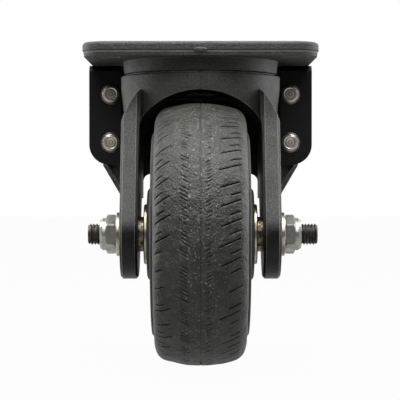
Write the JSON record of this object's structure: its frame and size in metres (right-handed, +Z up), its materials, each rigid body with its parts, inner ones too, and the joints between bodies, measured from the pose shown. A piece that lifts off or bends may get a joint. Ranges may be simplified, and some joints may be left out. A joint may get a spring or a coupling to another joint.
{
  "type": "industrial castor",
  "caption": "Swivel castor: moulded top plate on a ball swivel, fork with riveted side guards and a worn solid rubber wheel on a through axle with locknuts.",
  "frame": {"origin": "centre of the top plate's upper face, on the swivel axis", "axes": "+Z up out of the mounting face, +X to the right along the wheel's axle, -Y the side to which the wheel trails"},
  "size_m": [0.1324, 0.1684, 0.1807],
  "materials": {
    "plate_nylon": "moulded black glass-filled nylon, satin",
    "fork_nylon": "moulded black glass-filled nylon with a fine grain",
    "guard_paint": "black powder coat on steel sheet",
    "rivet_steel": "bright steel, turned",
    "nut_zinc": "bright zinc plate",
    "washer_zinc": "zinc plate, slightly yellow",
    "dust_zinc": "zinc plate, slightly yellow",
    "axle_steel": "bare threaded steel with rust",
    "spacer_steel": "bare steel, rusty",
    "forged_steel": "bare forged steel, oily",
    "race_steel": "hardened ground steel",
    "insert_nylon": "dyed nylon",
    "tyre_rubber": "worn dusty rubber",
    "core_nylon": "moulded black nylon, satin"
  },
  "bodies": {
    "plate": {"top_plate": "plate_nylon", "kingpin": "forged_steel", "upper_race": "race_steel", "lower_cup": "forged_steel"},
    "fork": {"fork": "fork_nylon", "head_race": "race_steel", "lower_race": "race_steel", "upper_balls": "race_steel", "lower_balls": "race_steel", "left_guard": "guard_paint", "right_guard": "guard_paint", "left_rivets": "rivet_steel", "right_rivets": "rivet_steel", "axle": "axle_steel", "axle_sleeve": "forged_steel", "left_washer": "washer_zinc", "right_washer": "washer_zinc", "left_nut": "nut_zinc", "right_nut": "nut_zinc", "left_nut_insert": "insert_nylon", "right_nut_insert": "insert_nylon", "left_spacer": "spacer_steel", "right_spacer": "spacer_steel", "left_inner_ring": "race_steel", "right_inner_ring": "race_steel", "left_bearing_balls": "race_steel", "right_bearing_balls": "race_steel"},
    "wheel": {"tyre": "tyre_rubber", "wheel_core": "core_nylon", "left_outer_ring": "race_steel", "right_outer_ring": "race_steel", "left_dust_disc": "dust_zinc", "right_dust_disc": "dust_zinc"}
  },
  "joints": [
    {"name": "swivel", "type": "hinge", "parent": "plate", "child": "fork", "pos_m": [0, 0, 0], "axis": [0, 0, 1], "continuous": true},
    {"name": "wheel_spin", "type": "hinge", "parent": "fork", "child": "wheel", "pos_m": [0, -0.04, -0.1073], "axis": [1, 0, 0], "continuous": true}
  ]
}
